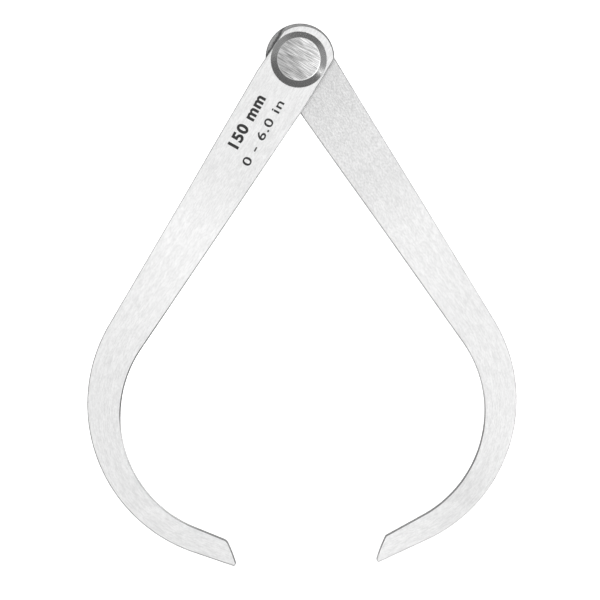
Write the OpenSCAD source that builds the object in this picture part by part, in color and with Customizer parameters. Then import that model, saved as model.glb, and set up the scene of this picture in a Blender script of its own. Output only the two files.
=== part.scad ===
// Firm-joint outside caliper, 150 mm: two bowed flat legs on a riveted friction joint.
// Millimetres. The joint axis is Z through the origin. Z = 0 is the flat face of the back
// joint disc, +Y points over the joint heads, and the legs run towards -Y, front leg at -X.

/* [Pose] */
// Angle between the two tips, seen from the joint, in degrees
opening = 16; // [1:0.1:100]

/* [Legs] */
// Thickness of each leg
leg_t = 3; // [2:0.1:4]
// Distance along the shank at which the joggle towards the common plane starts
joggle_start = 24; // [20:1:40]
// Distance along the shank at which the joggle ends
joggle_end = 60; // [48:1:80]
// Radius of the convex measuring face at the end of each leg
face_r = 40; // [20:1:100]

/* [Front leg: outer edge] */
// Lean of the shank's outer edge from straight down, in degrees
front_outer_lean = 23.2; // [22:0.1:25]
// Distance of that edge from the joint axis
front_outer_offset = 8.95; // [8.5:0.05:10]
// Radius of the bow's outer edge
front_outer_r = 46.2; // [42:0.1:50]
// Slope of the tail's outer edge, in degrees
front_outer_slope = 11.7; // [8:0.1:18]
// Distance of the tail's outer edge below the joint axis
front_outer_reach = 150.6; // [148:0.1:154]

/* [Front leg: inner edge] */
// Lean of the shank's inner edge from straight down, in degrees
front_inner_lean = 27; // [26:0.1:28]
// Distance of that edge from the joint axis
front_inner_offset = 9.2; // [8.5:0.1:10]
// Radius of the bow's inner edge
front_inner_r = 35.4; // [32:0.1:38]
// Slope of the tail's inner edge, in degrees
front_inner_slope = 15; // [12:0.1:20]
// Distance of the tail's inner edge below the joint axis
front_inner_reach = 144.3; // [141:0.1:145]

/* [Front leg: head and tip] */
// Radius of the rounded head
front_head_r = 9.5; // [9:0.1:11]
// Sideways place of the head's centre, positive towards the other leg
front_head_x = 0.8; // [-1:0.1:1]
// Place of the head's centre past the joint axis
front_head_y = 0.6; // [0:0.1:1.5]
// Distance from the joint axis to the flat filed on the outer side of the head
front_outer_flat_offset = 8.35; // [8.3:0.05:8.7]
// Lean of that flat, in degrees
front_outer_flat_lean = 26.9; // [25:0.1:30]
// Distance from the joint axis to the flat filed on the inner side of the head
front_inner_flat_offset = 8.7; // [8.3:0.05:9]
// Lean of that flat, in degrees
front_inner_flat_lean = 24.5; // [23:0.1:26]
// Radius of the rounded tip
front_tip_r = 0.65; // [0.3:0.05:1]
// Angle at which the measuring face leaves the tip, from straight up, in degrees
front_face_lean = 24; // [15:0.5:35]

/* [Rear leg: outer edge] */
// Lean of the shank's outer edge from straight down, in degrees
rear_outer_lean = 22.45; // [22:0.05:25]
// Distance of that edge from the joint axis
rear_outer_offset = 9.5; // [8.5:0.1:10]
// Radius of the bow's outer edge
rear_outer_r = 45.4; // [42:0.1:50]
// Slope of the tail's outer edge, in degrees
rear_outer_slope = 16; // [8:0.1:18]
// Distance of the tail's outer edge below the joint axis
rear_outer_reach = 150.1; // [148:0.1:154]

/* [Rear leg: inner edge] */
// Lean of the shank's inner edge from straight down, in degrees
rear_inner_lean = 26.4; // [26:0.1:28]
// Distance of that edge from the joint axis
rear_inner_offset = 8.45; // [8:0.05:9.5]
// Radius of the bow's inner edge
rear_inner_r = 35.1; // [32:0.1:38]
// Slope of the tail's inner edge, in degrees
rear_inner_slope = 20; // [16:0.1:24]
// Distance of the tail's inner edge below the joint axis
rear_inner_reach = 144.05; // [141:0.05:145]

/* [Rear leg: head and tip] */
// Radius of the rounded head
rear_head_r = 10.2; // [9:0.1:11]
// Sideways place of the head's centre, positive towards the other leg
rear_head_x = -0.5; // [-1:0.1:1]
// Place of the head's centre past the joint axis
rear_head_y = 0.9; // [0:0.1:1.5]
// Radius of the rounded tip
rear_tip_r = 0.6; // [0.3:0.05:1]
// Angle at which the measuring face leaves the tip, from straight up, in degrees
rear_face_lean = 25; // [15:0.5:35]

/* [Joint] */
// Radius of each joint disc where it meets its leg
disc_r = 8.25; // [7:0.05:9]
// Radius of the flat ground face of each joint disc
disc_face_r = 6.35; // [5:0.05:6.8]
// Thickness of each joint disc
disc_t = 1.7; // [1.4:0.1:2.5]
// Height of the straight rim under the bevel
disc_rim = 0.3; // [0.1:0.05:0.6]
// Radius of the rivet
rivet_r = 3; // [2:0.1:3.4]
// Radius of the rivet's heads where they are ground flush with the discs
rivet_head_r = 4.2; // [3.6:0.1:4.6]
// Depth of the rivet's countersunk heads
rivet_head_t = 1.2; // [0.6:0.1:1.3]
// Radial running clearance between the rivet and the rear leg
running_gap = 0.05; // [0.02:0.01:0.1]
// Thickness of each friction washer
washer_t = 0.4; // [0.2:0.1:1]
// Radius of each friction washer
washer_r = 8; // [7:0.1:8.2]

/* [Hidden] */
$fn = 240;
// Facets along the joggle
JOGGLE_STEPS = 12;
// An arc is this much larger than one that only touches its neighbour, so that the two cross
CROSSING = 0.005;
// Larger than the whole object
FAR = 400;
// More than the length of the measuring face, from tip to heel
FACE_SPAN = 12;
// More than the length of the flats on the front leg's head
FLAT_SPAN = 60;
STEEL = [0.78, 0.79, 0.8];
DARK_STEEL = [0.5, 0.5, 0.51];
BRASS = [0.78, 0.66, 0.36];

// The joint's stack, from the back face up
back_washer_z = disc_t;
rear_leg_z = back_washer_z + washer_t;
middle_washer_z = rear_leg_z + leg_t;
front_leg_z = middle_washer_z + washer_t;
front_disc_z = front_leg_z + leg_t;
stack_t = front_disc_z + disc_t;

// Each leg bends by half of the distance between them, so that both bows share one plane
joggle_step = (front_leg_z - rear_leg_z) / 2;

// One edge of a leg: [lean, offset, radius, slope, reach], the offset signed, outwards positive
front_outer = [front_outer_lean, front_outer_offset, front_outer_r, front_outer_slope,
    front_outer_reach];
front_inner = [front_inner_lean, -front_inner_offset, front_inner_r, front_inner_slope,
    front_inner_reach];
rear_outer = [rear_outer_lean, rear_outer_offset, rear_outer_r, rear_outer_slope,
    rear_outer_reach];
rear_inner = [rear_inner_lean, -rear_inner_offset, rear_inner_r, rear_inner_slope,
    rear_inner_reach];

// Directions in a leg's own plan: tip straight below the joint, bow towards -X
function down(lean) = [-sin(lean), -cos(lean)];
function outward(lean) = [-cos(lean), sin(lean)];
function below(slope) = [-sin(slope), -cos(slope)];
function forward(slope) = [cos(slope), -sin(slope)];
function inward(lean) = [cos(lean), sin(lean)];

// The point at distance p along direction a and at distance q along direction b
function meet(a, p, b, q) = [p * b[1] - q * a[1], q * a[0] - p * b[0]] / (a[0] * b[1] - a[1] * b[0]);

// Centre of the bow arc, which is tangent to the shank's edge and to the tail's edge
function bow_centre(e) = meet(outward(e[0]), e[1] - e[2], below(e[3]), e[4] * cos(e[3]) - e[2]);

// Centre of the rounded tip, which touches X = 0 and the tail's outer edge
function tip_centre(e, r) = [-r, -e[4] + r * (1 + sin(e[3])) / cos(e[3])];

// Everything on the inner side of one edge, which runs down the shank, round the bow and
// along the tail. It reaches as far as spare past both ends.
module inside_of(e, spare) {
    c = bow_centre(e);
    shank_end = c + e[2] * outward(e[0]);
    tail_start = c + e[2] * below(e[3]);
    polygon([
        shank_end - spare * down(e[0]),
        shank_end,
        tail_start,
        tail_start + spare * forward(e[3]),
        [spare, spare]
    ]);
    translate(c)
        circle(e[2] + CROSSING);
}

// Everything past the end of a leg: outside its rounded tip, and outside the measuring face,
// a convex arc that leaves the tip smoothly
module past_the_end(outer, tip_r, face_lean) {
    tip = tip_centre(outer, tip_r);
    face = tip - (face_r - tip_r) * inward(face_lean);
    heel_lean = face_lean + FACE_SPAN / face_r * 180 / PI;
    difference() {
        polygon([
            tip,
            tip + FACE_SPAN * below(outer[3]),
            tip + FACE_SPAN * below(outer[3]) + FAR * forward(outer[3]),
            tip + FAR * inward(face_lean)
        ]);
        translate(tip)
            circle(tip_r + CROSSING);
    }
    difference() {
        polygon([
            face,
            face + FAR * inward(face_lean - 1),
            face + FAR * inward(heel_lean)
        ]);
        translate(face)
            circle(face_r);
    }
}

// A leg's plan without its head: the strip between its two edges, from the joint to the tip
module strip(outer, inner, tip_r, face_lean) {
    lean = (outer[0] + inner[0]) / 2;
    difference() {
        inside_of(outer, FAR);
        inside_of(inner, 2 * FAR);
        past_the_end(outer, tip_r, face_lean);
        rotate(-lean)
            translate([-FAR, 0])
                square(2 * FAR);
    }
}

// How far the joggle has risen at share t of its length, as a share of its height: two parabolas
function rise(t) = t < 0.5 ? 2 * t * t : 1 - 2 * (1 - t) * (1 - t);

// The side view of a leg, along its shank: flat, then the joggle, then flat again
module joggled_side(step) {
    face = [for (i = [0 : JOGGLE_STEPS])
        let (t = i / JOGGLE_STEPS)
        [joggle_start + t * (joggle_end - joggle_start), step * rise(t)]];
    line = concat([[-FAR, 0]], face, [[FAR, step]]);
    last = len(line) - 1;
    polygon(concat(line, [for (i = [0 : last]) line[last - i] + [0, leg_t]]));
}

// The solid that a plan outline cuts a leg from: its side view, drawn across the shank
module joggled_plate(lean, step) {
    rotate([0, 0, -90 - lean])
        rotate([90, 0, 0])
            linear_extrude(FAR, center = true)
                joggled_side(step);
}

module front_leg() {
    lean = (front_outer_lean + front_inner_lean) / 2;
    color(STEEL)
        rotate([0, 0, -opening / 2])
            translate([0, 0, front_leg_z])
                difference() {
                    intersection() {
                        joggled_plate(lean, -joggle_step);
                        translate([0, 0, -leg_t])
                            linear_extrude(3 * leg_t)
                                front_plan();
                    }
                    translate([0, 0, -1])
                        cylinder(r = rivet_r, h = leg_t + 2);
                }
}

module front_plan() {
    difference() {
        union() {
            strip(front_outer, front_inner, front_tip_r, front_face_lean);
            translate([front_head_x, front_head_y])
                circle(front_head_r);
        }
        rotate(-front_outer_flat_lean)
            translate([-FAR - front_outer_flat_offset, -FLAT_SPAN / 2])
                square([FAR, FLAT_SPAN]);
        rotate(-front_inner_flat_lean)
            translate([front_inner_flat_offset, -FLAT_SPAN / 2])
                square([FAR, FLAT_SPAN]);
    }
}

module rear_leg() {
    lean = (rear_outer_lean + rear_inner_lean) / 2;
    color(STEEL)
        rotate([0, 0, opening / 2])
            mirror([1, 0, 0])
                translate([0, 0, rear_leg_z])
                    difference() {
                        intersection() {
                            joggled_plate(lean, joggle_step);
                            translate([0, 0, -leg_t])
                                linear_extrude(3 * leg_t)
                                    rear_plan();
                        }
                        translate([0, 0, -1])
                            cylinder(r = rivet_r + running_gap, h = leg_t + 2);
                    }
}

module rear_plan() {
    strip(rear_outer, rear_inner, rear_tip_r, rear_face_lean);
    translate([rear_head_x, rear_head_y])
        circle(rear_head_r);
}

// The rivet's shank with a countersunk head at each end, ground flush with the discs
module joint_rivet() {
    color(STEEL)
        rotate_extrude()
            polygon([
                [0, 0],
                [rivet_head_r, 0],
                [rivet_r, rivet_head_t],
                [rivet_r, stack_t - rivet_head_t],
                [rivet_head_r, stack_t],
                [0, stack_t]
            ]);
}

// A bevelled disc, drawn with its ground face at Z = 0 and its broad face up
module joint_disc() {
    rotate_extrude()
        polygon([
            [rivet_head_r, 0],
            [disc_face_r, 0],
            [disc_r, disc_t - disc_rim],
            [disc_r, disc_t],
            [rivet_r, disc_t],
            [rivet_r, rivet_head_t]
        ]);
}

module front_joint_disc() {
    color(DARK_STEEL)
        translate([0, 0, stack_t])
            mirror([0, 0, 1])
                joint_disc();
}

module back_joint_disc() {
    color(DARK_STEEL)
        joint_disc();
}

module friction_washer(z) {
    color(BRASS)
        translate([0, 0, z])
            difference() {
                cylinder(r = washer_r, h = washer_t);
                translate([0, 0, -1])
                    cylinder(r = rivet_r, h = washer_t + 2);
            }
}

module middle_friction_washer() {
    friction_washer(middle_washer_z);
}

module back_friction_washer() {
    friction_washer(back_washer_z);
}

front_leg();
rear_leg();
joint_rivet();
front_joint_disc();
back_joint_disc();
middle_friction_washer();
back_friction_washer();
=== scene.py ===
"""Firm-joint outside caliper lying on a white sheet, seen from above.

Both legs are built here as smooth, edge-rounded meshes on the plan that the CAD part has. The
joint's discs, rivet and washers are turned profiles. All sizes are in millimetres until a mesh
is made, and angles are in degrees.
"""
import math
from collections import namedtuple

import bmesh
import bpy
from mathutils import Matrix, Vector


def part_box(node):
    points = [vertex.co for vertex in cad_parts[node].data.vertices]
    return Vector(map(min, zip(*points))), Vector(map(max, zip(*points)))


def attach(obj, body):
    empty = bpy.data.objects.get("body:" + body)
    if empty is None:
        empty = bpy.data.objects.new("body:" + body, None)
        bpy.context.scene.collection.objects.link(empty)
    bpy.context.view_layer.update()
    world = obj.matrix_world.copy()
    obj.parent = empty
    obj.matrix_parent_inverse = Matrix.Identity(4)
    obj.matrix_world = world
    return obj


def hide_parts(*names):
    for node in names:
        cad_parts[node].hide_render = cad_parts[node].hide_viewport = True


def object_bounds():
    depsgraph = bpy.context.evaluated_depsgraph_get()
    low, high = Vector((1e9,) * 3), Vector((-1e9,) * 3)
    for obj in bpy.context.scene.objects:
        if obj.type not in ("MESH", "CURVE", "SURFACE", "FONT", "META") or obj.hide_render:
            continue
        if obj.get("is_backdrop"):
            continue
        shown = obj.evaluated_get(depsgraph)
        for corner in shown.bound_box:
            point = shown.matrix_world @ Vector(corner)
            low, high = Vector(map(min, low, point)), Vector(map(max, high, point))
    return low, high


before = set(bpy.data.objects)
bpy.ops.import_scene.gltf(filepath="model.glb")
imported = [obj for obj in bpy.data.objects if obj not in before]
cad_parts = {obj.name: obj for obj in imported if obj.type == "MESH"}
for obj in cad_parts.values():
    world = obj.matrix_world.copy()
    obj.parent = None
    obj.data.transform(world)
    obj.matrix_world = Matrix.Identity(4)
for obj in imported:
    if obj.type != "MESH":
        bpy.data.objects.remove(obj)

MM = 0.001
cad_low, cad_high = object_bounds()

# ---------------------------------------------------------------- the joint's stack, from the frame


def node_span(node):
    """Lowest and highest z of a CAD node, in millimetres."""
    low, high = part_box(node)
    return low.z / MM, high.z / MM


def node_radius(node):
    """Radius of a round CAD node on the joint axis, in millimetres."""
    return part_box(node)[1].x / MM


DISC_R = node_radius("front_joint_disc")
DISC_T = node_span("back_joint_disc")[1]
WASHER_R = node_radius("middle_friction_washer")
RIVET_HEAD_R = node_radius("joint_rivet")
STACK_T = node_span("joint_rivet")[1]
FRONT_LEG_Z = node_span("middle_friction_washer")[1]
REAR_LEG_Z = node_span("back_friction_washer")[1]
LEG_T = node_span("front_joint_disc")[0] - FRONT_LEG_Z

DISC_FACE_R = 6.35
DISC_RIM = 0.3
RIVET_R = 3.0
RIVET_HEAD_T = 1.2
RUNNING_GAP = 0.05

# ---------------------------------------------------------------- the legs' plans

OPENING = 16.0
JOGGLE_START = 24.0
JOGGLE_END = 60.0
JOGGLE_STEP = (FRONT_LEG_Z - REAR_LEG_Z) / 2
FACE_R = 40.0          # the convex measuring face at a leg's end

# An edge runs straight down the shank, round the bow and straight along the tail. Lean is from
# straight down, slope is the tail's; offset is signed, outwards positive; reach is how far the
# tail lies below the joint axis.
Edge = namedtuple("Edge", "lean offset radius slope reach")
# A flat filed on the head: distance from the joint axis, and lean
Flat = namedtuple("Flat", "offset lean")
Leg = namedtuple("Leg", "outer inner head_x head_y head_r outer_flat inner_flat "
                        "tip_r face_lean heel_r bore_r base_z joggle mirror")

FRONT_LEG = Leg(
    outer=Edge(23.2, 8.95, 46.2, 11.7, 150.6),
    inner=Edge(27.0, -9.2, 35.4, 15.0, 144.3),
    head_x=0.8, head_y=0.6, head_r=9.5,
    outer_flat=Flat(8.35, 26.9), inner_flat=Flat(8.7, 24.5),
    tip_r=0.65, face_lean=24.0, heel_r=2.2,
    bore_r=RIVET_R, base_z=FRONT_LEG_Z, joggle=-JOGGLE_STEP, mirror=1)
REAR_LEG = Leg(
    outer=Edge(22.45, 9.5, 45.4, 16.0, 150.1),
    inner=Edge(26.4, -8.45, 35.1, 20.0, 144.05),
    head_x=-0.5, head_y=0.9, head_r=10.2,
    outer_flat=None, inner_flat=None,
    tip_r=0.6, face_lean=25.0, heel_r=0.5,
    bore_r=RIVET_R + RUNNING_GAP, base_z=REAR_LEG_Z, joggle=JOGGLE_STEP, mirror=-1)

NECK_S = 14.0          # distance along the shank at which the head's mesh meets the strip's
EDGE_R = 0.2           # rounding of every long edge
EDGE_SEGMENTS = 3
CELL = 1.6             # length of a mesh cell along the head's straight sides
HEAD_CELLS = 44        # mesh cells round the head's arc
RING_CELLS = 6         # mesh cells from the bore to the head's outline
SHANK_ROWS = 48        # mesh cells along the shank, round the bow and along the tail
BOW_ROWS = 44
TAIL_ROWS = 16
TIP_CELLS = 5          # mesh cells round the tip, along the measuring face and round the heel;
FACE_CELLS = 7         # together they are the mesh cells across a leg
HEEL_CELLS = 4
CROSS_CELLS = TIP_CELLS + FACE_CELLS + HEEL_CELLS


def unit(angle):
    """Unit vector at an angle from +X."""
    return Vector((math.cos(math.radians(angle)), math.sin(math.radians(angle))))


def outward(lean):
    """Away from a leg, square to a shank edge of this lean."""
    return unit(180 - lean)


def below(slope):
    """Away from the joint, square to a tail edge of this slope."""
    return unit(270 - slope)


def meet(a, p, b, q):
    """The point at distance p along direction a and at distance q along direction b."""
    det = a.x * b.y - a.y * b.x
    return Vector(((p * b.y - q * a.y) / det, (q * a.x - p * b.x) / det))


def crossing(normal, distance, centre, radius, side):
    """Where the line at a distance along normal crosses a circle. Side 1 is the crossing to the
    right of the normal, side -1 the one to its left."""
    gap = distance - centre.dot(normal)
    half_chord = math.sqrt(radius * radius - gap * gap)
    return centre + gap * normal + side * half_chord * Vector((normal.y, -normal.x))


def line_points(start, end, length):
    """Points from start up to but without end, about length apart."""
    count = max(1, round((end - start).length / length))
    return [start.lerp(end, i / count) for i in range(count)]


def arc_points(centre, start, end, count):
    """count points on the arc that turns left from start up to but without end."""
    a, b = start - centre, end - centre
    first = math.degrees(math.atan2(a.y, a.x))
    angle = (math.degrees(math.atan2(b.y, b.x)) - first) % 360
    return [centre + a.length * unit(first + angle * i / count) for i in range(count)]


def rise(t):
    """Share of the joggle's height at share t of its length."""
    t = min(max(t, 0.0), 1.0)
    return 2 * t * t if t < 0.5 else 1 - 2 * (1 - t) * (1 - t)


class LegPlan:
    """One leg in its own plan: tip straight below the joint, bow towards -X."""

    def __init__(self, leg):
        self.leg = leg
        self.lean = (leg.outer.lean + leg.inner.lean) / 2
        self.shank = unit(270 - self.lean)
        self.neck_outer = meet(outward(leg.outer.lean), leg.outer.offset, self.shank, NECK_S)
        self.neck_inner = meet(outward(leg.inner.lean), leg.inner.offset, self.shank, NECK_S)

    def top(self, point):
        """Height of the leg's upper face at a point of the plan."""
        share = (point.dot(self.shank) - JOGGLE_START) / (JOGGLE_END - JOGGLE_START)
        return self.leg.base_z + LEG_T + self.leg.joggle * rise(share)

    def place(self, point, z):
        """A point of the plan at height z, in the object's frame."""
        x = point.x * self.leg.mirror
        turn = math.radians(-OPENING / 2 * self.leg.mirror)
        return Vector((x * math.cos(turn) - point.y * math.sin(turn),
                       x * math.sin(turn) + point.y * math.cos(turn), z))

    def head_outline(self):
        """The head's outline from the inner end of the neck, over the top, to its outer end."""
        leg = self.leg
        centre = Vector((leg.head_x, leg.head_y))
        outer_way, inner_way = outward(leg.outer.lean), outward(leg.inner.lean)
        before, after = [self.neck_inner], [self.neck_outer]
        if leg.inner_flat:
            flat_way = -outward(leg.inner_flat.lean)
            before.append(meet(inner_way, leg.inner.offset, flat_way, leg.inner_flat.offset))
            before.append(crossing(flat_way, leg.inner_flat.offset, centre, leg.head_r, -1))
        else:
            before.append(crossing(-inner_way, -leg.inner.offset, centre, leg.head_r, 1))
        if leg.outer_flat:
            flat_way = outward(leg.outer_flat.lean)
            after.insert(0, meet(outer_way, leg.outer.offset, flat_way, leg.outer_flat.offset))
            after.insert(0, crossing(flat_way, leg.outer_flat.offset, centre, leg.head_r, 1))
        else:
            after.insert(0, crossing(outer_way, leg.outer.offset, centre, leg.head_r, -1))
        points = []
        for a, b in zip(before, before[1:]):
            points += line_points(a, b, CELL)
        points += arc_points(centre, before[-1], after[0], HEAD_CELLS)
        for a, b in zip(after, after[1:]):
            points += line_points(a, b, CELL)
        return points

    def edge_points(self, edge, neck, end, counts):
        """Points along one edge from the neck to end: shank, bow and tail in counts steps."""
        cos_slope = math.cos(math.radians(edge.slope))
        centre = meet(outward(edge.lean), edge.offset - edge.radius,
                      below(edge.slope), edge.reach * cos_slope - edge.radius)
        shank_end = centre + edge.radius * outward(edge.lean)
        tail_start = centre + edge.radius * below(edge.slope)
        points = [neck.lerp(shank_end, i / counts[0]) for i in range(counts[0])]
        points += arc_points(centre, shank_end, tail_start, counts[1])
        points += [tail_start.lerp(end, i / counts[2]) for i in range(counts[2] + 1)]
        return points

    def end_row(self):
        """Points round the tip, up the measuring face and round the heel."""
        leg = self.leg
        slope = math.radians(leg.outer.slope)
        tip_rise = leg.tip_r * (1 + math.sin(slope)) / math.cos(slope)
        tip = Vector((-leg.tip_r, -leg.outer.reach + tip_rise))
        face = tip - (FACE_R - leg.tip_r) * unit(leg.face_lean)
        inner_way = below(leg.inner.slope)
        inner_distance = leg.inner.reach * math.cos(math.radians(leg.inner.slope))
        heel = crossing(inner_way, inner_distance + leg.heel_r, face, FACE_R - leg.heel_r, -1)
        tip_start = tip + leg.tip_r * below(leg.outer.slope)
        tip_end = tip + leg.tip_r * unit(leg.face_lean)
        heel_start = face + FACE_R * (heel - face).normalized()
        heel_end = heel - leg.heel_r * inner_way
        return (arc_points(tip, tip_start, tip_end, TIP_CELLS)
                + arc_points(face, tip_end, heel_start, FACE_CELLS)
                + arc_points(heel, heel_start, heel_end, HEEL_CELLS) + [heel_end])

    def rows(self):
        """Rows of points from the neck to the measuring face, each from outer to inner edge."""
        leg, end = self.leg, self.end_row()
        counts = (SHANK_ROWS, BOW_ROWS, TAIL_ROWS)
        outer = self.edge_points(leg.outer, self.neck_outer, end[0], counts)
        inner = self.edge_points(leg.inner, self.neck_inner, end[-1], counts)
        steps = [i / CROSS_CELLS for i in range(CROSS_CELLS + 1)]
        shift = [p - end[0].lerp(end[-1], t) for p, t in zip(end, steps)]
        made = []
        for k, (a, b) in enumerate(zip(outer, inner)):
            share = max(0.0, 1 - (len(outer) - 1 - k) / TAIL_ROWS) ** 2
            made.append([a.lerp(b, t) + share * d for t, d in zip(steps, shift)])
        return made


# ---------------------------------------------------------------- meshes

GRAIN = "grain"        # UV map: distance along the leg, and across it, in metres
FACE_SLOT, WALL_SLOT, RIM_SLOT = 0, 1, 2
SHARP_ANGLE = math.radians(35)
TURNED_STEPS = 160     # mesh cells round a turned piece
ROUND_STEPS = 4        # mesh cells round one of its rounded corners
ON_AXIS = 1e-6         # a profile point closer to the axis than this lies on it


def new_piece(name, bm, materials, body, slot, *nodes):
    """Turns a bmesh in millimetres into a smooth-shaded piece in metres, which rides on a body
    and replaces CAD nodes."""
    bmesh.ops.scale(bm, vec=(MM, MM, MM), verts=bm.verts)
    bmesh.ops.recalc_face_normals(bm, faces=bm.faces)
    for edge in bm.edges:
        edge.smooth = edge.calc_face_angle(math.pi) < SHARP_ANGLE
    mesh = bpy.data.meshes.new(name)
    bm.to_mesh(mesh)
    bm.free()
    mesh.polygons.foreach_set("use_smooth", [True] * len(mesh.polygons))
    for material in materials:
        mesh.materials.append(material)
    piece = bpy.data.objects.new(name, mesh)
    bpy.context.scene.collection.objects.link(piece)
    flatten = piece.modifiers.new("flat_faces", "WEIGHTED_NORMAL")
    flatten.weight = 100
    flatten.keep_sharp = True
    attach(piece, body)
    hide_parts(*nodes)
    return piece


def inward(loop):
    """For each point of a closed outline, the move that insets both its sides by one."""
    turn = sum(p.x * q.y - p.y * q.x for p, q in zip(loop, loop[1:] + loop[:1]))
    sides = [(q - p).normalized() for p, q in zip(loop, loop[1:] + loop[:1])]
    normals = [Vector((-d.y, d.x)) * math.copysign(1, turn) for d in sides]
    return [(a + b) / (1 + a.dot(b)) for a, b in zip(normals[-1:] + normals[:-1], normals)]


def leg_ways(plan, rows):
    """Functions that give the distance along and across the leg: one for the head, one a row."""

    def way(middle, ahead, along):
        side = Vector((-ahead.y, ahead.x))
        return lambda p: ((along + (p - middle).dot(ahead)) * MM, (p - middle).dot(side) * MM)

    middles = [(row[0] + row[-1]) / 2 for row in rows]
    along, made = 0.0, []
    for k, middle in enumerate(middles):
        if k:
            along += (middle - middles[k - 1]).length
        ahead = middles[min(k + 1, len(rows) - 1)] - middles[max(k - 1, 0)]
        made.append(way(middle, ahead.normalized(), along))
    return way(middles[0], plan.shank, 0.0), made


def build_leg(name, leg, materials, body):
    """A leg: two gridded faces, walls between them, and rounded edges."""
    plan = LegPlan(leg)
    rows = plan.rows()
    outline = plan.head_outline()
    count, heads = len(rows), len(outline)
    loop = (outline + [row[0] for row in rows] + rows[-1][1:-1]
            + [row[-1] for row in reversed(rows[1:])])
    head_way, row_ways = leg_ways(plan, rows)
    loop_ways = ([head_way] * heads + row_ways + [row_ways[-1]] * (CROSS_CELLS - 1)
                 + row_ways[:0:-1])
    moves = inward(loop)
    inset = [p + EDGE_R * move for p, move in zip(loop, moves)]
    # The rows again, between the inset ends
    ends = [inset[0]] + inset[:heads + count + CROSS_CELLS - 2:-1]
    face_rows = [[start.lerp(end, i / CROSS_CELLS) for i in range(CROSS_CELLS + 1)]
                 for start, end in zip(inset[heads:heads + count], ends)]
    face_rows[-1] = inset[heads + count - 1:heads + count + CROSS_CELLS]
    bm = bmesh.new()
    grain = bm.loops.layers.uv.new(GRAIN)
    ways = {}

    def vert(point, depth, way):
        """A vertex at a point of the plan and a depth below the upper face."""
        made = bm.verts.new(plan.place(point, plan.top(point) - depth))
        ways[made] = way(point)
        return made

    def band(upper, lower, slot):
        """Faces between two closed rows of vertices."""
        for i in range(len(upper)):
            j = (i + 1) % len(upper)
            face = bm.faces.new((upper[i], upper[j], lower[j], lower[i]))
            face.material_index = slot

    # Both faces, each with its rounded edges down to where the walls start
    walls = []
    for side in (0, 1):

        def depth(d):
            return LEG_T - d if side else d

        grid = [[vert(p, depth(0.0), way) for p in row] for row, way in zip(face_rows, row_ways)]
        neck = [grid[0][-1]] + [vert(p, depth(0.0), head_way) for p in inset[1:heads]]
        neck += grid[0][:-1]
        ways_in = [p.normalized() for p in inset[:heads] + face_rows[0][:-1]]
        spokes = list(zip(ways_in, inset[:heads] + face_rows[0][:-1]))
        rings = [[vert(((leg.bore_r + EDGE_R) * way).lerp(p, i / RING_CELLS), depth(0.0), head_way)
                  for way, p in spokes] for i in range(RING_CELLS)] + [neck]
        for a, b in zip(rings, rings[1:]):
            band(a, b, FACE_SLOT)
        for a, b in zip(grid, grid[1:]):
            for i in range(CROSS_CELLS):
                bm.faces.new((a[i], a[i + 1], b[i + 1], b[i]))
        rim = (neck[:heads] + [row[0] for row in grid] + grid[-1][1:-1]
               + [row[-1] for row in reversed(grid[1:])])
        bore = rings[0]
        for k in range(1, EDGE_SEGMENTS + 1):
            angle = math.pi / 2 * k / EDGE_SEGMENTS
            left, down = EDGE_R * (1 - math.sin(angle)), EDGE_R * (1 - math.cos(angle))
            next_rim = [vert(p + left * move, depth(down), way)
                        for p, move, way in zip(loop, moves, loop_ways)]
            next_bore = [vert((leg.bore_r + left) * way, depth(down), head_way) for way in ways_in]
            band(rim, next_rim, RIM_SLOT)
            band(bore, next_bore, RIM_SLOT)
            rim, bore = next_rim, next_bore
        walls.append((rim, bore))
    for upper, lower in zip(*walls):
        band(upper, lower, WALL_SLOT)
    for face in bm.faces:
        for corner in face.loops:
            corner[grain].uv = ways[corner.vert]
    return new_piece(name + "_plate", bm, materials, body, "leg_steel", name)


def rounded(profile, corners):
    """A profile of (radius, z) corners, with the named ones rounded: {index: radius}."""
    points = []
    count = len(profile)
    for i, here in enumerate(profile):
        here = Vector(here)
        if i not in corners:
            points.append(here)
            continue
        to_last = (Vector(profile[i - 1]) - here).normalized()
        to_next = (Vector(profile[(i + 1) % count]) - here).normalized()
        half = to_last.angle(to_next) / 2
        cut = corners[i] / math.tan(half)
        middle = here + (to_last + to_next).normalized() * corners[i] / math.sin(half)
        start, end = here + to_last * cut - middle, here + to_next * cut - middle
        for k in range(ROUND_STEPS + 1):
            points.append(middle + start.slerp(end, k / ROUND_STEPS) * corners[i])
    return points


def turned(name, profile, materials, slot_of, body, slot, node):
    """A closed profile of (radius, z) points turned round Z. slot_of gives a material slot for
    the middle of each profile segment."""
    bm = bmesh.new()
    columns = []
    for point in profile:
        if point.x < ON_AXIS:
            columns.append([bm.verts.new((0, 0, point.y))])
            continue
        columns.append([bm.verts.new((point.x * math.cos(math.tau * i / TURNED_STEPS),
                                      point.x * math.sin(math.tau * i / TURNED_STEPS),
                                      point.y)) for i in range(TURNED_STEPS)])
    for k, a in enumerate(columns):
        b = columns[(k + 1) % len(columns)]
        middle = (profile[k] + profile[(k + 1) % len(profile)]) / 2
        if len(a) == 1 and len(b) == 1:
            continue
        for i in range(TURNED_STEPS):
            j = (i + 1) % TURNED_STEPS
            ring = [a[i % len(a)], a[j % len(a)], b[j % len(b)], b[i % len(b)]]
            corners = list(dict.fromkeys(ring))
            face = bm.faces.new(corners)
            face.material_index = slot_of(middle)
    return new_piece(name, bm, materials, body, slot, node)


# ---------------------------------------------------------------- materials

# The rear head is darkened up to the first distance past the neck and full tone from the second;
# the third number is the darkened part's share of the tone. This is painted shade, where the front
# head shades the rear head.
REAR_HEAD_PAINTED_SHADE = (-0.017, -0.011, 0.5)
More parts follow.
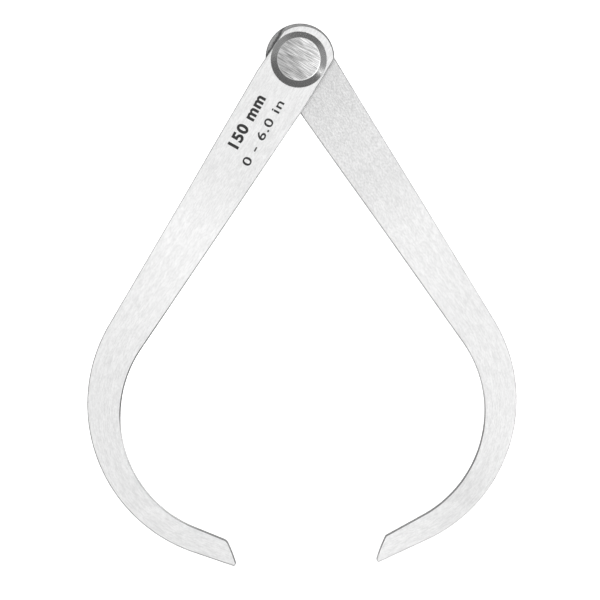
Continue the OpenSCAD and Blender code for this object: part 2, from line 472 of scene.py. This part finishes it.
# A painted shadow line on the rear head, dark beside the front head's flat: the direction square to
# it, and its distance from the joint axis
SHADOW_LINE_AZIMUTH = 148.1
SHADOW_LINE_AT = 0.0089
WORN_TONE = 0.8        # tone of the worn patches on walls and edges, as a share of the rest
GROUND_TURN = 31.0     # the brush lines on the disc's face run down to the right
TOOL_MARKS = 32000.0   # radians of the turned bevel's rings per metre: one each 0.2 mm

def sky_way(azimuth, elevation):
    """The unit direction of this azimuth and elevation; azimuth 0 is +X, 90 is +Y."""
    turn, rise_angle = math.radians(azimuth), math.radians(elevation)
    return Vector((math.cos(rise_angle) * math.cos(turn), math.cos(rise_angle) * math.sin(turn),
                   math.sin(rise_angle)))


class Graph:
    """A small helper for writing node graphs."""

    def __init__(self, name):
        self.material = bpy.data.materials.new(name)
        self.material.use_nodes = True
        self.tree = self.material.node_tree
        self.tree.nodes.clear()
        self.shader = self.add("ShaderNodeBsdfPrincipled")
        output = self.add("ShaderNodeOutputMaterial")
        self.link(self.shader.outputs["BSDF"], output.inputs["Surface"])

    def add(self, kind, **settings):
        """A new node; each setting is the value of a socket, or else a property."""
        node = self.tree.nodes.new(kind)
        for key, value in settings.items():
            if key in node.inputs:
                node.inputs[key].default_value = value
            else:
                setattr(node, key, value)
        return node

    def link(self, source, target):
        self.tree.links.new(source, target)

    def place(self):
        """The place on the object, in metres."""
        return self.add("ShaderNodeTexCoord").outputs["Object"]

    def parts(self, vector):
        """The X, Y and Z of a vector output."""
        made = self.add("ShaderNodeSeparateXYZ")
        self.link(vector, made.inputs[0])
        return made.outputs

    def set(self, **values):
        """Plain values on the shader's own sockets."""
        for key, value in values.items():
            self.shader.inputs[key.replace("_", " ")].default_value = value

    def streaks(self, vector, scale, turn=0.0, detail=2.0):
        """Noise stretched by scale, an (x, y, z) of cells per metre, on a vector output."""
        mapping = self.add("ShaderNodeMapping", vector_type="POINT")
        mapping.inputs["Rotation"].default_value = (0, 0, math.radians(turn))
        self.link(vector, mapping.inputs["Vector"])
        stretch = self.add("ShaderNodeVectorMath", operation="MULTIPLY")
        stretch.inputs[1].default_value = scale
        self.link(mapping.outputs["Vector"], stretch.inputs[0])
        noise = self.add("ShaderNodeTexNoise", Scale=1.0, Detail=detail, Roughness=0.6)
        self.link(stretch.outputs[0], noise.inputs["Vector"])
        return noise.outputs["Fac"]

    def spread(self, value, low, high, to_low, to_high):
        """Maps value from low..high to to_low..to_high, clamped."""
        made = self.add("ShaderNodeMapRange", clamp=True)
        made.inputs["From Min"].default_value = low
        made.inputs["From Max"].default_value = high
        made.inputs["To Min"].default_value = to_low
        made.inputs["To Max"].default_value = to_high
        self.link(value, made.inputs["Value"])
        return made.outputs["Result"]

    def times(self, a, b):
        return self.maths("MULTIPLY", a, b)

    def maths(self, operation, a, b):
        """A Math node's value; a and b are outputs or plain numbers."""
        made = self.add("ShaderNodeMath", operation=operation)
        for socket, value in zip(made.inputs, (a, b)):
            if isinstance(value, (int, float)):
                socket.default_value = value
            else:
                self.link(value, socket)
        return made.outputs[0]

    def blend(self, share, a, b):
        """The value a, or b where share is one."""
        made = self.add("ShaderNodeMix", data_type="FLOAT")
        self.link(share, made.inputs[0])
        self.link(a, made.inputs[2])
        self.link(b, made.inputs[3])
        return made.outputs[0]

    def profile(self, value, points):
        """A grey that follows value along a list of (value, grey) points."""
        made = self.add("ShaderNodeValToRGB")
        elements = made.color_ramp.elements
        start, end = points[0][0], points[-1][0]
        for i, (at, grey) in enumerate(points):
            if i in (0, len(points) - 1):
                element = elements[0 if i == 0 else -1]
            else:
                element = elements.new((at - start) / (end - start))
            element.color = (grey, grey, grey, 1)
        self.link(self.spread(value, start, end, 0.0, 1.0), made.inputs["Fac"])
        return made.outputs["Color"]

    def grey(self, value):
        """A neutral colour of this brightness, as the base colour."""
        made = self.add("ShaderNodeCombineColor")
        for socket in made.inputs[:3]:
            self.link(value, socket)
        self.link(made.outputs["Color"], self.shader.inputs["Base Color"])

    def roughness(self, value):
        self.link(value, self.shader.inputs["Roughness"])

    def bump(self, height, distance):
        made = self.add("ShaderNodeBump", Distance=distance, Strength=1.0)
        self.link(height, made.inputs["Height"])
        self.link(made.outputs["Normal"], self.shader.inputs["Normal"])


def grain_vector(graph):
    """Distance along and across a leg, and height, so that the grain also covers the walls."""
    uv = graph.add("ShaderNodeUVMap", uv_map=GRAIN)
    parts = graph.parts(uv.outputs["UV"])
    joined = graph.add("ShaderNodeCombineXYZ")
    graph.link(parts["X"], joined.inputs["X"])
    graph.link(parts["Y"], joined.inputs["Y"])
    graph.link(graph.parts(graph.place())["Z"], joined.inputs["Z"])
    return joined.outputs["Vector"], parts["X"], parts["Y"]


def leg_steel(name, tone_and_shade_points, grain_and_shade_until):
    """Belt-brushed steel. The tones are a list of (distance, tone), partly painted light and shade;
    up to the given number of metres past the neck the grain is coarser and darkens the tone, which
    is painted shade near the joint."""
    graph = Graph(name)
    vector, along, _ = grain_vector(graph)
    fine = graph.streaks(vector, (420, 3000, 3000), detail=3.0)
    speck = graph.streaks(vector, (1500, 3300, 3300), detail=2.0)
    broad = graph.streaks(vector, (70, 700, 700))
    cloudy = graph.streaks(vector, (30, 60, 60))
    tone = graph.spread(fine, 0.38, 0.62, 0.84, 0.92)
    tone = graph.times(tone, graph.spread(speck, 0.38, 0.62, 0.93, 1.01))
    tone = graph.times(tone, graph.spread(broad, 0.35, 0.65, 0.98, 1.0))
    tone = graph.times(tone, graph.spread(cloudy, 0.35, 0.65, 0.985, 1.0))
    # Tone along the leg, partly painted light and shade
    tone = graph.times(tone, graph.profile(along, tone_and_shade_points))
    if grain_and_shade_until:
        # Coarser grain near the joint, whose dark specks also darken the tone there: painted shade
        share = graph.spread(along, 0.2 * grain_and_shade_until, grain_and_shade_until, 1.0, 0.0)
        dark = graph.spread(speck, 0.36, 0.64, 0.19, 0.03)
        tone = graph.times(tone, graph.maths("SUBTRACT", 1.0, graph.times(share, dark)))
        # Painted shade on the rear head, under the front head's shadow
        tone = graph.times(tone, graph.spread(along, *REAR_HEAD_PAINTED_SHADE, 1.0))
        place = graph.place()
        # The distance from the painted shadow line, whose sides are a little ragged
        reach = graph.add("ShaderNodeVectorMath", operation="DOT_PRODUCT")
        reach.inputs[1].default_value = sky_way(SHADOW_LINE_AZIMUTH, 0)
        graph.link(place, reach.inputs[0])
        ragged = graph.spread(graph.streaks(place, (700, 700, 700)), 0.35, 0.65, -0.0002, 0.0002)
        off = graph.maths("SUBTRACT", graph.maths("ADD", reach.outputs["Value"], ragged), SHADOW_LINE_AT)
        off = graph.maths("ABSOLUTE", off, 0.0)
        # Painted shadow: the tone drops along that line
        tone = graph.times(tone, graph.spread(off, 0.0002, 0.0006, 0.35, 1.0))
    graph.grey(tone)
    graph.roughness(graph.spread(fine, 0.38, 0.62, 0.46, 0.38))
    graph.bump(fine, 0.00002)
    graph.set(Metallic=1.0)
    return graph.material


def wall_steel(name, inner, outer):
    """The ground walls of a leg, or their broken edges. inner and outer are lists of (distance,
    tone) for either side, partly the steel's own tone and partly painted light and shade."""
    graph = Graph(name)
    vector, along, across = grain_vector(graph)
    fine = graph.streaks(vector, (900, 900, 3500), detail=3.0)
    worn = graph.streaks(vector, (120, 120, 300), detail=2.0)
    # Painted light and shade with the steel's own tone, by distance and by side; it also sets the
    # specular tint
    tone_and_shade_level = graph.blend(graph.spread(across, -0.001, 0.001, 0.0, 1.0),
                        graph.profile(along, outer), graph.profile(along, inner))
    tone = graph.times(tone_and_shade_level, graph.spread(fine, 0.35, 0.65, 0.82, 1.1))
    tone = graph.times(tone, graph.spread(worn, 0.35, 0.65, WORN_TONE, 1.0))
    graph.grey(tone)
    graph.roughness(graph.spread(fine, 0.35, 0.65, 0.55, 0.45))
    graph.bump(fine, 0.00001)
    graph.set(Metallic=1.0)
    graph.link(tone_and_shade_level, graph.shader.inputs["Specular Tint"])
    return graph.material


def ground_face():
    """The joint's face, ground flush with straight brush lines; brighter to the right, which is
    painted light.
    """
    graph = Graph("ground_joint_face")
    place = graph.place()
    fine = graph.streaks(place, (260, 4800, 300), GROUND_TURN, 3.0)
    broad = graph.streaks(place, (130, 2100, 100), GROUND_TURN, 2.0)
    patch = graph.streaks(place, (110, 210, 100), GROUND_TURN, 1.0)
    tone = graph.spread(fine, 0.37, 0.61, 0.36, 0.95)
    tone = graph.times(tone, graph.spread(broad, 0.36, 0.60, 0.70, 1.0))
    tone = graph.times(tone, graph.spread(patch, 0.38, 0.62, 0.86, 1.0))
    parts = graph.parts(place)
    # Painted light: the tone rises towards the right and a little upwards
    painted_light_slant = graph.maths("ADD", parts["X"], graph.times(parts["Y"], 0.3))
    tone = graph.times(tone, graph.spread(painted_light_slant, -0.001, 0.0065, 0.86, 1.45))
    graph.grey(tone)
    graph.roughness(graph.spread(broad, 0.3, 0.7, 0.45, 0.3))
    graph.bump(fine, 0.00002)
    graph.set(Metallic=1.0)
    return graph.material


def turned_steel():
    """The bevel of a joint disc: fine concentric tool marks and a dull grey."""
    graph = Graph("turned_bevel_steel")
    place = graph.place()
    speckle = graph.streaks(place, (2600, 2600, 2600), detail=3.0)
    flat = graph.add("ShaderNodeVectorMath", operation="MULTIPLY")
    flat.inputs[1].default_value = (1, 1, 0)
    graph.link(place, flat.inputs[0])
    radius = graph.add("ShaderNodeVectorMath", operation="LENGTH")
    graph.link(flat.outputs[0], radius.inputs[0])
    rings = graph.maths("SINE", graph.times(radius.outputs["Value"], TOOL_MARKS), 0.0)
    tone = graph.spread(speckle, 0.3, 0.7, 0.50, 0.68)
    tone = graph.times(tone, graph.spread(rings, -1.0, 1.0, 0.94, 1.0))
    graph.grey(tone)
    graph.roughness(graph.spread(speckle, 0.3, 0.7, 0.32, 0.24))
    graph.bump(speckle, 0.000006)
    graph.set(Metallic=1.0)
    return graph.material


def corner_highlight_steel():
    """The corner between a disc's face and its bevel: a painted highlight, a light grey that is
    brightest on the right.
    """
    graph = Graph("painted_highlight_corner_steel")
    place = graph.place()
    speckle = graph.streaks(place, (1500, 1500, 1500), detail=2.0)
    # Painted highlight, brightest on the right
    painted_glint = graph.spread(graph.parts(place)["X"], -0.002, 0.004, 0.55, 1.0)
    graph.grey(graph.times(graph.spread(speckle, 0.3, 0.7, 0.8, 0.97), painted_glint))
    graph.roughness(graph.spread(speckle, 0.3, 0.7, 0.28, 0.18))
    graph.bump(speckle, 0.000004)
    graph.set(Metallic=1.0)
    return graph.material


def washer_brass():
    """Rolled brass sheet, a little mottled."""
    graph = Graph("washer_brass_sheet")
    place = graph.place()
    noise = graph.streaks(place, (900, 900, 4000), detail=3.0)
    ramp = graph.add("ShaderNodeMix", data_type="RGBA")
    ramp.inputs["A"].default_value = (0.55, 0.40, 0.16, 1)
    ramp.inputs["B"].default_value = (0.74, 0.58, 0.28, 1)
    graph.link(noise, ramp.inputs["Factor"])
    graph.link(ramp.outputs["Result"], graph.shader.inputs["Base Color"])
    graph.roughness(graph.spread(noise, 0.3, 0.7, 0.45, 0.3))
    graph.set(Metallic=1.0)
    return graph.material


def etched():
    """Black etched marks, slightly uneven."""
    graph = Graph("etched_mark")
    place = graph.place()
    noise = graph.streaks(place, (3000, 3000, 3000), detail=2.0)
    graph.grey(graph.spread(noise, 0.3, 0.7, 0.025, 0.055))
    graph.roughness(graph.spread(noise, 0.3, 0.7, 0.6, 0.8))
    graph.set(Metallic=0.0)
    return graph.material


# ---------------------------------------------------------------- pieces

FRONT_BODY, REAR_BODY = "front_side", "rear_side"
# Tones of faces, walls and broken edges by distance past the neck: partly the steel's own tone,
# partly painted light and shade where each stretch catches or misses the light
FRONT_FACE_TONE_AND_SHADE = ((-0.03, 1.04), (-0.005, 0.99), (0.02, 0.98), (0.05, 1.07), (0.09, 0.96),
              (0.12, 0.95), (0.17, 0.95))
REAR_FACE_TONE_AND_SHADE = ((-0.03, 0.96), (0.0, 0.95), (0.02, 1.06), (0.05, 1.02), (0.075, 0.95), (0.115, 0.95),
             (0.135, 0.87), (0.155, 0.97), (0.17, 1.0))
FRONT_WALL_TONE_AND_SHADE = ((-0.03, 0.8), (0.0, 0.9), (0.02, 0.6), (0.065, 0.5), (0.077, 0.28), (0.106, 0.28),
              (0.113, 0.75), (0.145, 0.7), (0.156, 0.38), (0.18, 0.38))
REAR_WALL_TONE_AND_SHADE = ((-0.03, 0.4), (0.0, 0.5), (0.06, 0.55), (0.075, 0.65), (0.105, 0.65), (0.114, 0.38),
             (0.18, 0.38))
OUTER_WALL_TONE_AND_SHADE = ((-0.03, 0.42), (0.18, 0.46))
FRONT_INNER_EDGE_TONE_AND_SHADE = ((-0.03, 0.25), (-0.018, 0.3), (-0.012, 0.8), (0.01, 0.8), (0.02, 0.5),
                    (0.065, 0.45), (0.078, 0.25), (0.106, 0.25), (0.114, 0.8), (0.143, 0.7),
                    (0.155, 0.32), (0.18, 0.32))
FRONT_OUTER_EDGE_TONE_AND_SHADE = ((-0.03, 0.3), (0.0, 0.5), (0.07, 0.42), (0.085, 0.22), (0.18, 0.22))
REAR_INNER_EDGE_TONE_AND_SHADE = ((-0.03, 0.2), (-0.004, 0.3), (0.004, 0.6), (0.1, 0.65), (0.112, 0.32),
                   (0.18, 0.32))
REAR_OUTER_EDGE_TONE_AND_SHADE = ((-0.03, 0.2), (-0.004, 0.3), (0.004, 0.65), (0.18, 0.65))
build_leg("front_leg", FRONT_LEG,
          [leg_steel("front_leg_steel", FRONT_FACE_TONE_AND_SHADE, 0.0),
           wall_steel("front_leg_wall", FRONT_WALL_TONE_AND_SHADE, OUTER_WALL_TONE_AND_SHADE),
           wall_steel("front_leg_edge", FRONT_INNER_EDGE_TONE_AND_SHADE, FRONT_OUTER_EDGE_TONE_AND_SHADE)], FRONT_BODY)
build_leg("rear_leg", REAR_LEG,
          [leg_steel("rear_leg_steel", REAR_FACE_TONE_AND_SHADE, 0.060),
           wall_steel("rear_leg_wall", REAR_WALL_TONE_AND_SHADE, OUTER_WALL_TONE_AND_SHADE),
           wall_steel("rear_leg_edge", REAR_INNER_EDGE_TONE_AND_SHADE, REAR_OUTER_EDGE_TONE_AND_SHADE)], REAR_BODY)

FACE_ROUND = 0.5       # rounding between a disc's ground face and its bevel
RIM_ROUND = 0.12       # and between its bevel and its rim
WASHER_ROUND = 0.1
TOUCH = 1e-3
CORNER_DEPTH = FACE_ROUND * 0.15    # the corner with the painted highlight reaches this far below the face
BEVEL_Z = DISC_T - DISC_RIM

ground, bevel, brass, corner_highlight = ground_face(), turned_steel(), washer_brass(), corner_highlight_steel()


def disc_profile(flip):
    """A joint disc's profile; flip puts its ground face on top of the stack."""
    corners = [(RIVET_HEAD_R, 0), (DISC_FACE_R, 0), (DISC_R, BEVEL_Z), (DISC_R, DISC_T),
               (RIVET_R, DISC_T), (RIVET_R, RIVET_HEAD_T)]
    points = rounded(corners, {1: FACE_ROUND, 2: RIM_ROUND})
    return [Vector((p.x, STACK_T - p.y)) for p in points] if flip else points


def disc_slot(flip):
    """The ground face, then its corner with the painted highlight, then the bevel and the rest."""

    def slot_of(middle):
        depth = abs(middle.y - (STACK_T if flip else 0.0))
        if depth < TOUCH:
            return 0
        return 2 if depth < CORNER_DEPTH else 1

    return slot_of


for node, flip in (("front_joint_disc", True), ("back_joint_disc", False)):
    turned(node + "_turned", disc_profile(flip), [ground, bevel, corner_highlight],
           disc_slot(flip), FRONT_BODY, "joint_steel", node)

rivet_profile = [Vector(p) for p in (
    (0, 0), (RIVET_HEAD_R / 2, 0), (RIVET_HEAD_R, 0), (RIVET_R, RIVET_HEAD_T),
    (RIVET_R, STACK_T - RIVET_HEAD_T), (RIVET_HEAD_R, STACK_T), (RIVET_HEAD_R / 2, STACK_T),
    (0, STACK_T))]
turned("joint_rivet_turned", rivet_profile, [ground], lambda middle: 0, FRONT_BODY,
       "joint_steel", "joint_rivet")

for node in ("middle_friction_washer", "back_friction_washer"):
    low, high = node_span(node)
    corners = [(RIVET_R, low), (WASHER_R, low), (WASHER_R, high), (RIVET_R, high)]
    sheet = rounded(corners, {1: WASHER_ROUND, 2: WASHER_ROUND})
    turned(node + "_sheet", sheet, [brass], lambda middle: 0, FRONT_BODY, "washer_brass", node)

# ---------------------------------------------------------------- size marks

MARK_DEPTH = 0.02      # a mark stands this far above the steel, and reaches as far into it
MARK_STEP = 2.0        # marks are cut at this spacing, so that they follow the steel
MARK_MERGE = 0.001     # vertices closer than this become one
MARK_SPACING = 1.12    # space between characters, as a share of the font's own
MARK_TURN = 3.0        # the marks were not set quite along the leg
mark_material = etched()


def size_mark(name, text, length, height, thicken, along, across):
    """Text etched along the front leg, centred at a distance along and across its shank."""
    plan = LegPlan(FRONT_LEG)
    curve = bpy.data.curves.new(name, "FONT")
    curve.body = text
    curve.size = height
    curve.offset = thicken
    curve.space_character = MARK_SPACING
    writer = bpy.data.objects.new(name + "_curve", curve)
    bpy.context.scene.collection.objects.link(writer)
    bpy.context.view_layer.update()
    mesh = bpy.data.meshes.new_from_object(writer)
    bpy.data.objects.remove(writer)
    bm = bmesh.new()
    bm.from_mesh(mesh)
    low, high = ([pick(v.co[i] for v in bm.verts) for i in (0, 1)] for pick in (min, max))
    for v in bm.verts:
        v.co.x = (v.co.x - (low[0] + high[0]) / 2) * length / (high[0] - low[0])
        v.co.y = (v.co.y - (low[1] + high[1]) / 2) * height / (high[1] - low[1])
    bmesh.ops.remove_doubles(bm, verts=bm.verts, dist=MARK_MERGE)
    reach = length / 2
    for i in range(-int(reach / MARK_STEP), int(reach / MARK_STEP) + 1):
        bmesh.ops.bisect_plane(bm, geom=bm.verts[:] + bm.edges[:] + bm.faces[:],
                               plane_co=(i * MARK_STEP, 0, 0), plane_no=(1, 0, 0))
    bmesh.ops.remove_doubles(bm, verts=bm.verts, dist=MARK_MERGE)
    bmesh.ops.dissolve_degenerate(bm, edges=bm.edges, dist=MARK_MERGE)
    sunk = bmesh.ops.extrude_face_region(bm, geom=bm.faces[:], use_keep_orig=True)["geom"]
    for v in sunk:
        if isinstance(v, bmesh.types.BMVert):
            v.co.z = -2 * MARK_DEPTH
    side = Vector((-plan.shank.y, plan.shank.x))
    centre = along * plan.shank + across * side
    turn = Matrix.Rotation(math.radians(MARK_TURN), 2)
    for v in bm.verts:
        point = centre + turn @ (-v.co.x * plan.shank - v.co.y * side)
        v.co = plan.place(point, plan.top(point) + MARK_DEPTH + v.co.z)
    return new_piece(name, bm, [mark_material], FRONT_BODY, "leg_steel")


size_mark("size_mark_metric", "150 mm", length=17.2, height=3.6, thicken=0.14, along=23.5,
          across=-3.25)
size_mark("size_mark_inch", "0 - 6.0 in", length=21.5, height=2.7, thicken=0.04, along=23.9,
          across=2.6)

# ---------------------------------------------------------------- floor, light, camera

TIP_Z = REAR_LEG_Z + JOGGLE_STEP
TIP_Y = -148.6
FLOOR_HALF = 900.0
FLOOR_GLOW = 0.75


def floor_material():
    """White paper, which glows so that it stays white."""
    graph = Graph("white_sheet")
    place = graph.place()
    mottle = graph.streaks(place, (300, 300, 300), detail=4.0)
    graph.grey(graph.spread(mottle, 0.3, 0.7, 0.93, 0.95))
    graph.set(Roughness=0.9)
    graph.shader.inputs["Emission Color"].default_value = (1, 1, 1, 1)
    graph.shader.inputs["Emission Strength"].default_value = FLOOR_GLOW
    return graph.material


def build_floor():
    """The sheet touches the back disc's face and both tips, as under a caliper laid down."""
    slope = TIP_Z / (TIP_Y + DISC_FACE_R)
    bm = bmesh.new()
    corners = []
    for x, y in ((-1, -1), (1, -1), (1, 1), (-1, 1)):
        y_mm = TIP_Y / 2 + y * FLOOR_HALF
        z_mm = slope * (y_mm + DISC_FACE_R)
        corners.append(bm.verts.new(Vector((x * FLOOR_HALF, y_mm, z_mm)) * MM))
    bm.faces.new(corners)
    mesh = bpy.data.meshes.new("floor")
    bm.to_mesh(mesh)
    bm.free()
    mesh.materials.append(floor_material())
    floor = bpy.data.objects.new("floor", mesh)
    bpy.context.scene.collection.objects.link(floor)
    floor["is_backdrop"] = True


build_floor()

ROLL = 0.86            # the caliper lies turned by this angle in the picture
CAMERA_X, CAMERA_Y, CAMERA_Z = -0.70, -70.72, 567.0
VIEW_PLANE_Z = 7.0
VIEW_WIDTH = 177.0     # width of the picture in that plane
SENSOR = 36.0


def build_camera():
    """Straight down on the caliper."""
    camera = bpy.data.cameras.new("camera")
    camera.sensor_width = SENSOR
    camera.lens = SENSOR * (CAMERA_Z - VIEW_PLANE_Z) / VIEW_WIDTH
    camera.clip_start, camera.clip_end = 0.01, 10.0
    holder = bpy.data.objects.new("camera", camera)
    holder.location = Vector((CAMERA_X, CAMERA_Y, CAMERA_Z)) * MM
    holder.rotation_euler = (0, 0, -math.radians(ROLL))
    bpy.context.scene.collection.objects.link(holder)
    bpy.context.scene.camera = holder


build_camera()


def area_light(name, azimuth, elevation, distance, size, watts):
    """A square light aimed at the caliper's middle."""
    light = bpy.data.lights.new(name, "AREA")
    light.shape = "SQUARE"
    light.size = size
    light.energy = watts
    holder = bpy.data.objects.new(name, light)
    way = sky_way(azimuth, elevation)
    holder.location = Vector((0, TIP_Y / 2 * MM, 0)) + way * distance
    holder.rotation_mode = "QUATERNION"
    holder.rotation_quaternion = way.to_track_quat("Z", "Y")
    bpy.context.scene.collection.objects.link(holder)


area_light("overhead_softbox", azimuth=0, elevation=90, distance=1.0, size=1.2, watts=3.0)
area_light("key_lower_right", azimuth=-20, elevation=20, distance=0.8, size=0.12, watts=0.12)

HORIZON, ZENITH = 0.16, 0.475       # strength of the world's light
HORIZON_Z, ZENITH_Z = 0.35, 0.85    # and the heights, of 1, between which it changes
# Soft lobes of light: azimuth, elevation, inner and outer half-angle, strength
LOBES = ((140, 18, 5, 40, 0.22), (10, 18, 5, 38, 0.26),
         (-20, 18, 1, 7, 1.3), (-20, 54, 6, 20, 1.7))


def build_world():
    """A studio with a bright ceiling and a dim horizon, brighter upper left and to the right."""
    world = bpy.data.worlds.new("studio")
    world.use_nodes = True
    tree = world.node_tree
    background = tree.nodes["Background"]
    place = tree.nodes.new("ShaderNodeTexCoord").outputs["Generated"]
    parts = tree.nodes.new("ShaderNodeSeparateXYZ")
    tree.links.new(place, parts.inputs[0])
    light = tree.nodes.new("ShaderNodeMapRange")
    light.interpolation_type = "SMOOTHSTEP"
    for socket, value in zip(light.inputs[1:5], (HORIZON_Z, ZENITH_Z, HORIZON, ZENITH)):
        socket.default_value = value
    tree.links.new(parts.outputs["Z"], light.inputs["Value"])
    total = light.outputs["Result"]
    for azimuth, elevation, narrow, wide, power in LOBES:
        dot = tree.nodes.new("ShaderNodeVectorMath")
        dot.operation = "DOT_PRODUCT"
        dot.inputs[1].default_value = sky_way(azimuth, elevation)
        tree.links.new(place, dot.inputs[0])
        lobe = tree.nodes.new("ShaderNodeMapRange")
        lobe.interpolation_type = "SMOOTHSTEP"
        for socket, value in zip(lobe.inputs[1:5], (math.cos(math.radians(wide)),
                                                    math.cos(math.radians(narrow)), 0.0, power)):
            socket.default_value = value
        tree.links.new(dot.outputs["Value"], lobe.inputs["Value"])
        plus = tree.nodes.new("ShaderNodeMath")
        plus.operation = "ADD"
        tree.links.new(total, plus.inputs[0])
        tree.links.new(lobe.outputs["Result"], plus.inputs[1])
        total = plus.outputs[0]
    background.inputs["Color"].default_value = (1, 1, 1, 1)
    tree.links.new(total, background.inputs["Strength"])
    bpy.context.scene.world = world


build_world()
bpy.context.scene.view_settings.view_transform = "Standard"

# ---------------------------------------------------------------- sizes, and the end

low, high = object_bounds()
{"cad": [list(cad_low), list(cad_high)], "visual": [list(low), list(high)]}
